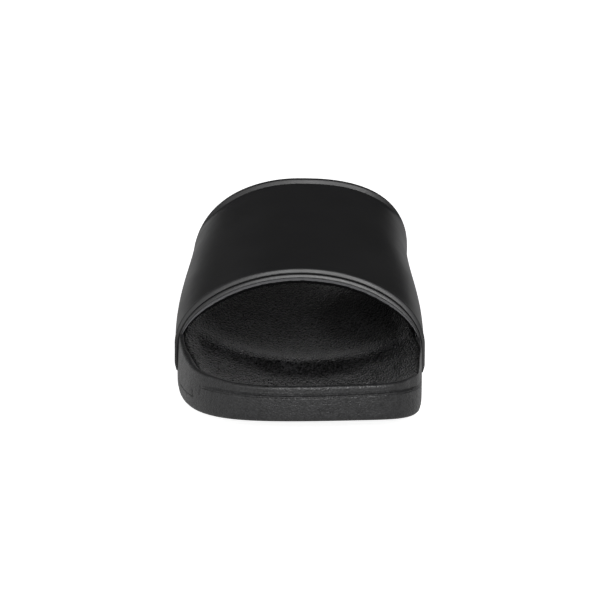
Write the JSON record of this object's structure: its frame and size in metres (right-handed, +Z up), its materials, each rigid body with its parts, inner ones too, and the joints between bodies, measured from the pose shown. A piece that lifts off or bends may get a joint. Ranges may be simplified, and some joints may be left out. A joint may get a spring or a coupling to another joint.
{
  "type": "sport slide sandal",
  "caption": "Open-toe slide sandal with one wide padded strap over the instep and a contoured footbed set into a moulded sole.",
  "frame": {"origin": "on the floor, under the middle of the object's bounding box", "axes": "+Z up, +Y from the toe to the heel, +X towards the medial side (big toe) of this right shoe"},
  "size_m": [0.1112, 0.29, 0.0754],
  "materials": {
    "sole_foam": "satin moulded skin with a fine texture",
    "footbed_foam": "matt, finely grained",
    "strap_skin": "satin coated skin",
    "lining_knit": "napped knit"
  },
  "bodies": {
    "root": {"sole": "sole_foam", "footbed": "footbed_foam", "strap_cover": "strap_skin", "strap_lining": "lining_knit"}
  },
  "joints": []
}
